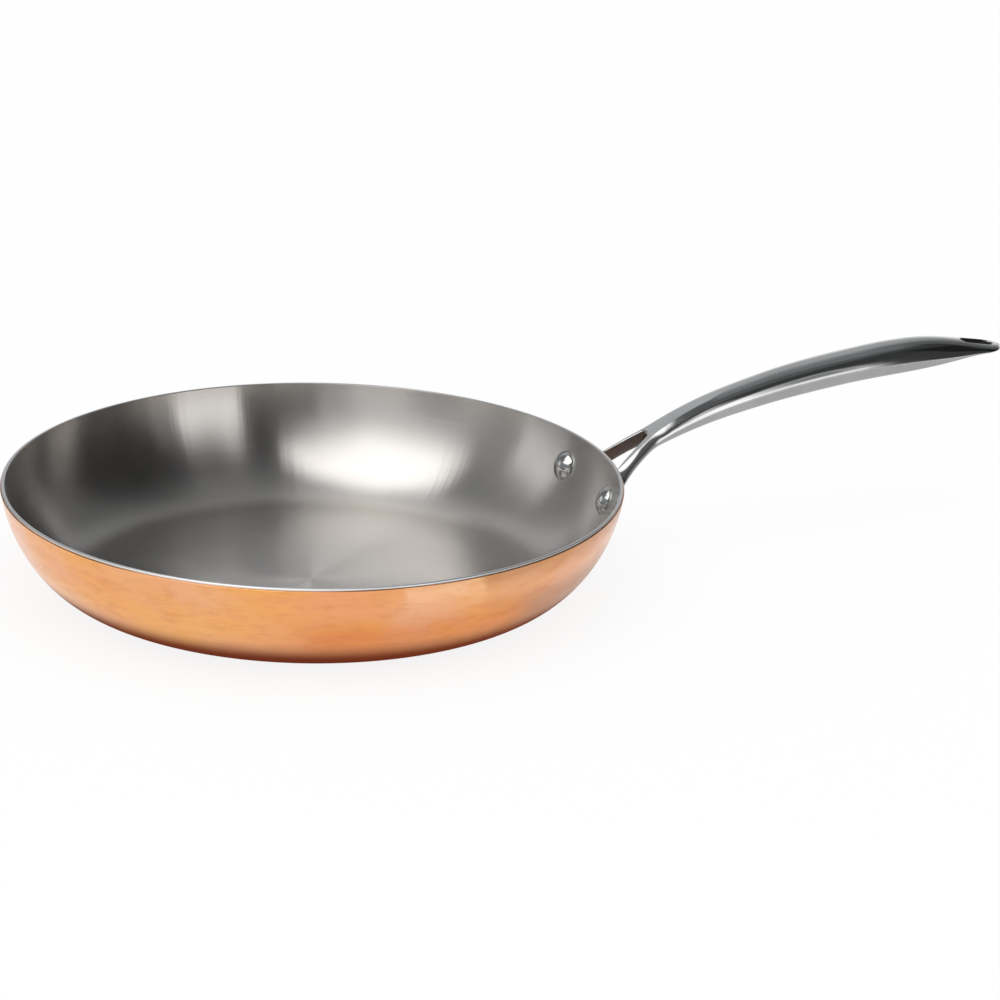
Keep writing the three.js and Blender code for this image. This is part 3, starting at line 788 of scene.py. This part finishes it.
def thickened(line):                      # the same line with many close points
    marks = np.concatenate(((0,), np.cumsum(np.linalg.norm(np.diff(line, axis=0), axis=1))))
    fine = np.linspace(0, marks[-1], int(marks[-1] / handle["outlineStep"]))
    return np.stack((np.interp(fine, marks, line[:, 0]), np.interp(fine, marks, line[:, 1])), 1)


def slotOutline(innerSide):               # seen from above, from the handle's middle line to the wall
    end = slotEnd(np.linspace(0, 1, handle["slotEndSteps"]))[:-1]
    return thickened(np.vstack((end, innerSide[:int(len(innerSide) * handle["outlineShare"])])))


def holeOutline():
    radius = handle["holeWidth"] / 2
    straight = handle["holeLength"] / 2 - radius
    middle = pan["rimRadius"] + tipReach - handle["holeMargin"] - handle["holeLength"] / 2
    bend = np.linspace(0, math.pi, handle["holeTurnSteps"])
    way = np.sign(quarterTurn - bend) * straight
    return thickened(np.stack((middle + way + radius * np.cos(bend), radius * np.sin(bend)), 1))


def hollowAt(row, outline):               # from a section's axis to a cut's outline, 0 where they don't meet
    across = np.array((math.sin(row[swingCol]), math.cos(row[swingCol])))
    offset = outline - row[:2]
    beside = offset @ np.array((across[1], -across[0]))
    if beside.min() > 0 or beside.max() < 0:
        return 0.0
    crossing = np.where(np.diff(np.sign(beside)) != 0)[0]
    return max((offset[crossing] @ across).max(), 0.0) if len(crossing) else 0.0


def halfSection(row, hollow, outlines):   # rounded outer side from the top down, then the flat inner side
    swing, width, upper, lower, ramp, lean, roundness = row[swingCol:hollowCol]
    flat = np.array((math.sin(swing), math.cos(swing), 0))
    up = np.array((0, 0, math.cos(lean))) + flat * math.sin(lean)
    across = flat * math.cos(lean) - np.array((0, 0, math.sin(lean)))
    limit = math.acos(min(1.0, (max(hollow, 0) / width) ** (1 / roundness)))
    spread = np.cos(np.linspace(0, math.pi, handle["arcSteps"] + 1)) * limit
    a = width * np.maximum(np.cos(spread), 0) ** roundness
    a[[0, -1]] += min(hollow, 0)          # a closed section reaches the handle's middle line
    u = np.where(spread > 0, upper, lower) * np.sign(spread) * np.abs(np.sin(spread)) ** roundness
    plan = row[:2] + np.outer(a, across[:2]) + np.outer(u, up[:2])
    edge = handle["edgeRadius"]
    for outline in outlines:
        if np.abs(outline[:, 0] - row[0]).min() < handle["edgeReach"]:
            away = np.sqrt(((plan[:, None] - outline[None]) ** 2).sum(2)).min(1)
            short = np.clip(edge - away, 0, edge)
            drop = edge - np.sqrt(edge ** 2 - short ** 2)
            u = np.sign(u) * np.maximum(np.abs(u) - drop, np.abs(u) * handle["edgeFloor"])
    side = np.linspace(0, 1, handle["sideSteps"] + 1)[1:-1]
    a = np.concatenate((a, np.full(len(side), a[0])))
    u = np.concatenate((u, mix(u[-1], u[0], side)))
    ring = row[:3] + np.outer(a, across) + np.outer(u, up)
    ring[:, 2] += ramp * (ring[:, 0] - row[0])
    return ring


def handleSections():
    track, innerSide, fork = handleTrack()
    slot, hole = slotOutline(innerSide), holeOutline()
    slotLast = fork + handle["legSteps"] * handle["slotShare"]
    rings, rawAndShade = [], []
    for i, row in enumerate(track):
        hollow = row[hollowCol] if i > slotLast else hollowAt(row, slot)
        mark = slotMark
        if i < fork and hollowAt(row, hole) > 0:
            hollow = hollowAt(row, hole)
            mark = holeShadeMark
        cut = hollow > 0                  # a slot or a hole leaves an unpolished side, painted dark as shade
        if not cut and i < fork:
            hollow = -row[1] / math.cos(row[swingCol])
        ring = halfSection(row, hollow, (slot, hole))
        rings.append(ring)
        rawAndShade.append([mark * (cut and (k >= handle["arcSteps"] or k == 0)) for k in range(len(ring))])
    return np.array(rings), np.array(rawAndShade)


def seatOnWall(points, seat, out):        # nothing reaches into the wall, and the rivet's tail sits flat
    sizes = handle
    curve = [wallPoint(t) for t in np.linspace(sizes["wallFrom"], 1, sizes["wallSteps"])]
    spots = np.array([spot for spot, _ in curve])
    normals = np.array([(going[1], -going[0]) for _, going in curve])
    radius = np.hypot(points[:, 0], points[:, 1])
    besideRim = radius < pan["rimRadius"] + sizes["nearRim"]
    for i in np.where(besideRim & (points[:, 2] < pan["panHeight"] + sizes["nearTop"]))[0]:
        offset = np.array((radius[i], points[i, 2])) - spots
        best = np.argmin((offset ** 2).sum(1))
        if offset[best] @ normals[best] < sizes["wallGap"]:
            moved = spots[best] + normals[best] * sizes["wallGap"]
            points[i, :2] *= moved[0] / radius[i]
            points[i, 2] = moved[1]
    high = (points - seat) @ out
    aside = np.linalg.norm(points - seat - np.outer(high, out), axis=1)
    proud = (aside < sizes["seatRadius"]) & (high > rivet["padFace"])
    points[proud] -= np.outer(high[proud] - rivet["padFace"], out)
    return points


def makeHandle():
    rings, rawAndShade = handleSections()
    seat, out, _ = padSeat()
    rows, count = rings.shape[:2]
    points = seatOnWall(rings.reshape(-1, 3), seat, out)
    points = np.minimum(points, np.array(cadBox[1]) / mm)
    shape = bmesh.new()
    rawLayer = shape.verts.layers.float.new("rawAndShade")
    for side in (1, -1):
        verts = [shape.verts.new((x * mm, y * side * mm, z * mm)) for x, y, z in points]
        for vert, share in zip(verts, rawAndShade.ravel()):
            vert[rawLayer] = share
        for r in range(rows - 1):
            for k in range(count):
                here, beside = r * count + k, r * count + (k + 1) % count
                corners = (here, beside, beside + count, here + count)
                if max(abs(points[c, 1]) for c in corners) > handle["middleGap"]:  # else the halves meet
                    shape.faces.new([verts[c] for c in corners])
        for r in (0, rows - 1):
            shape.faces.new([verts[r * count + k] for k in range(count)])
    mesh = bpy.data.meshes.new("handleCasting")
    shape.to_mesh(mesh)
    shape.free()
    smoothMesh(mesh, meshing["handleWeld"], meshing["handleSharp"])
    mesh.materials.append(handleFinish)
    return addObject("handleCasting", mesh)


handleCasting = makeHandle()
print("handle made:", len(handleCasting.data.polygons), "faces")


# Studio: a pale floor, a white surround, one soft lamp and the cards that metal mirrors

studio = {                                # metres
    "floorRadius": 6.0, "floorSides": 96, "floorSink": 0.0003,
    "floorColour": (0.96, 0.96, 0.96, 1), "floorRoughness": 0.9,
    "floorGlow": 0.88,                    # share of plain white that weakens the shadow
    "skyForFloor": 0.80, "lampPower": 24, "lampSize": 2.5, "lampPlace": (-0.6, -0.8, 2.6),
    "cardSide": 61,                       # points along each side of a card
    "sheetStep": 0.00004,                 # between low sheets, so that each lies clear of the next
}
plainWhite, coolGrey = (1, 1, 1, 1), (0.97, 1.0, 1.03, 1)
zenith = 90

# Cards: degrees right of the camera, degrees above level, brightness, soft edges in degrees, metres away.
tents = {
    "tentAll": ((-180, 180), (-14, zenith), 0.12, (0, 0), 3.2),
    "tentBackHigh": ((81, 213), (53, zenith), 0.21, (24, 8), 3.1),
    "tentBack": ((139, 222), (-14, 77), 0.47, (36, 34), 3.0),
    "tentRight": ((-40.6, 127), (-14, 67), 0.052, (5, 10), 2.9),
    "tentRightLow": ((66, 117), (-14, 53), 0.017, (1, 2), 2.7),
    "tentBackLeft": ((-186, -130), (-14, 69), 0.52, (5, 5), 0.84),
    "tentLeft": ((-153, -75), (-14, 65), 0.22, (12, 16), 0.82),
    "tentFront": ((-99, 0), (-14, 41), 0.32, (2, 4), 0.80),
    "windowFoot": ((60, 80), (13, 37), 0.28, (7.6, 7.6), 0.455),
    "sideDoor": ((-123, -89), (2, 35), 0.96, (7, 10), 0.78),
}
cards = {
    "backGlow": ((128, 224), (-14, 26), 0.85, (21, 16), 2.8),
    "frontStrip": ((-46, -6), (-14, 15.6), 1.27, (14, 5.3), 0.78),
    "window": ((30, 62.6), (0, 40), 1.42, (3.5, 12), 0.76),
    "windowTall": ((32, 52), (11, 56), 1.26, (17, 5.7), 0.75),
}
# A level panel overhead, in metres: each end's place along X, then where it starts and stops along Y.
softbox = {
    "right": (0.02, -0.49, 0.30), "left": (-1.06, -0.79, 0.16), "height": 0.70, "level": 1.88, "soft": 0.042,
}
# Low sheets on the table, seen only in reflections, with painted shade and, in tableGlow, a painted patch of
# light: degrees right of the camera, metres out, colour, soft edges.
floorCards = {
    "tableShade": ((25, 150), (0.16, 1.6), (0.55, 0.55, 0.55, 1), (12, 0.05)),
    "rightShade": ((42, 150), (0.10, 0.162), (0.60, 0.58, 0.58, 1), (8, 0.03)),
    "warmShade": ((-8, 62), (0.108, 0.158), (0.86, 0.66, 0.52, 1), (14, 0.025)),
    "tableGlow": ((23.5, 46.5), (0.158, 0.215), (1.15, 1.35, 1.5, 1), (1.5, 0.02)),
    "footShade": ((-180, 180), (0.083, 0.129), (0.17, 0.05, 0.032, 1), (0, 0.016)),
}


def seenRays(tree):                       # 1 where the camera, metal or glass looks, else 0
    rays = tree.nodes.new("ShaderNodeLightPath").outputs
    mirrored = calc(tree, "MAXIMUM", rays["Is Glossy Ray"], rays["Is Transmission Ray"])
    return calc(tree, "MAXIMUM", rays["Is Camera Ray"], mirrored)


def makeFloor(sizes):
    shape = bmesh.new()
    bmesh.ops.create_circle(shape, cap_ends=True, segments=sizes["floorSides"], radius=sizes["floorRadius"])
    mesh = bpy.data.meshes.new("floor")
    shape.to_mesh(mesh)
    shape.free()
    floor = addObject("floor", mesh)
    floor.location.z = -sizes["floorSink"]
    finish = bpy.data.materials.new("floor paper")
    finish.use_nodes = True
    tree = finish.node_tree
    shader = tree.nodes["Principled BSDF"]
    shader.inputs["Base Color"].default_value = sizes["floorColour"]
    shader.inputs["Roughness"].default_value = sizes["floorRoughness"]
    shader.inputs["Specular IOR Level"].default_value = 0.0
    bright = calc(tree, "MULTIPLY", seenRays(tree), sizes["floorGlow"])
    glow = addNode(tree, "ShaderNodeEmission", {"Strength": 1.0}).outputs[0]
    paper = addNode(tree, "ShaderNodeMixShader", {0: bright, 1: shader.outputs[0], 2: glow})
    under = tree.nodes.new("ShaderNodeNewGeometry").outputs["Backfacing"]
    clear = tree.nodes.new("ShaderNodeBsdfTransparent").outputs[0]
    seen = addNode(tree, "ShaderNodeMixShader", {0: under, 1: paper.outputs[0], 2: clear})
    tree.links.new(seen.outputs[0], tree.nodes["Material Output"].inputs["Surface"])
    mesh.materials.append(finish)


def makeSky(sizes):
    world = bpy.data.worlds.new("surround")
    world.use_nodes = True
    scene.world = world
    tree = world.node_tree
    sky = tree.nodes["Background"].inputs
    feed(tree, between(tree, sizes["skyForFloor"], 1.0, seenRays(tree)), sky["Strength"])
    sky["Color"].default_value = plainWhite


def makeLamp(sizes):
    data = bpy.data.lights.new("overhead lamp", "AREA")
    data.energy = sizes["lampPower"]
    data.size = sizes["lampSize"]
    lamp = addObject("overhead lamp", data)
    lamp.location = sizes["lampPlace"]
    lamp.rotation_euler = (-Vector(sizes["lampPlace"])).to_track_quat("-Z", "Y").to_euler()
    lamp.visible_camera = False
    lamp.visible_glossy = False


def makeCardFinish(name, level, colour):
    finish = bpy.data.materials.new(name)
    finish.use_nodes = True
    finish.cycles.emission_sampling = "NONE"
    tree = finish.node_tree
    tree.nodes.remove(tree.nodes["Principled BSDF"])
    glow = addNode(tree, "ShaderNodeEmission", {"Strength": level, "Color": colour}).outputs[0]
    clear = tree.nodes.new("ShaderNodeBsdfTransparent").outputs[0]
    soft = addNode(tree, "ShaderNodeAttribute", attribute_name="cover").outputs["Fac"]
    mixed = addNode(tree, "ShaderNodeMixShader", {0: soft, 1: clear, 2: glow}).outputs[0]
    tree.links.new(mixed, tree.nodes["Material Output"].inputs["Surface"])
    return finish


def makeCard(name, level, colour, spotAt):            # spotAt: two shares to a place and its cover
    side = studio["cardSide"]
    shares = np.linspace(0, 1, side)
    places, covers = zip(*(spotAt(u, v) for u in shares for v in shares))
    corners = [i * side + j for i in range(side - 1) for j in range(side - 1)]
    mesh = bpy.data.meshes.new(name)
    mesh.from_pydata(places, [], [(c, c + 1, c + side + 1, c + side) for c in corners])
    mesh.attributes.new("cover", "FLOAT", "POINT").data.foreach_set("value", covers)
    mesh.materials.append(makeCardFinish(name, level, colour))
    card = addObject(name, mesh)
    for ray in ("camera", "diffuse", "shadow", "transmission"):
        setattr(card, "visible_" + ray, False)


def inside(share, span, edge):            # 1 well inside a span, falling to 0 at its ends
    return 1.0 if edge == 0 else smoothStep(min(share, 1 - share) * span / edge)


def cardTurn(aside, share):               # from +X, seen from above
    return math.radians(cameraSpot["heading"] + 180) + math.radians(mix(*aside, share))


def makeTentCard(name, colour, aside, above, level, edges, distance):
    def spotAt(u, v):
        turn, rise = cardTurn(aside, u), math.radians(mix(*above, v))
        place = (math.cos(rise) * math.cos(turn), math.cos(rise) * math.sin(turn), math.sin(rise))
        rising = v / 2 if above[1] >= zenith else v   # nothing fades at the zenith
        cover = inside(u, aside[1] - aside[0], edges[0]) * inside(rising, above[1] - above[0], edges[1])
        return [distance * p for p in place], cover

    makeCard(name, level, colour, spotAt)


def makeSoftbox(box):                     # a flat panel above the pan
    rightEnd, rightLow, rightHigh = box["right"]
    leftEnd, leftLow, leftHigh = box["left"]
    wide, deep = rightEnd - leftEnd, (rightHigh - rightLow + leftHigh - leftLow) / 2

    def spotAt(u, v):
        y = mix(mix(leftLow, rightLow, u), mix(leftHigh, rightHigh, u), v)
        cover = inside(u, wide, box["soft"]) * inside(v, deep, box["soft"])
        return (mix(leftEnd, rightEnd, u), y, box["height"]), cover

    makeCard("softbox", box["level"], plainWhite, spotAt)


def makeFloorCard(name, aside, out, colour, edges, height):
    def spotAt(u, v):
        turn, reach = cardTurn(aside, u), mix(*out, v)
        cover = inside(u, aside[1] - aside[0], edges[0]) * inside(v, out[1] - out[0], edges[1])
        return (reach * math.cos(turn), reach * math.sin(turn), height), cover

    makeCard(name, 1.0, colour, spotAt)


makeFloor(studio)
makeSky(studio)
makeLamp(studio)
for cardName, card in tents.items():
    makeTentCard(cardName, coolGrey, *card)
for cardName, card in cards.items():
    makeTentCard(cardName, plainWhite, *card)
makeSoftbox(softbox)
for index, (cardName, card) in enumerate(floorCards.items()):
    makeFloorCard(cardName, *card, (index - len(floorCards)) * studio["sheetStep"])
print("studio set")


# Every piece rides on the one body and stands for its CAD nodes

dressed = {
    copperSheet: ("copper", "copper_shell"), coreSheet: ("core_aluminium", "aluminium_core"),
    linerSheet: ("liner_steel", "steel_liner"), handleCasting: ("handle_steel", "handle"),
    rivets: ("rivet_steel", "rivet_left", "rivet_right"),
}
for piece, (slot, *nodes) in dressed.items():
    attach(piece, "root")
    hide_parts(*nodes)
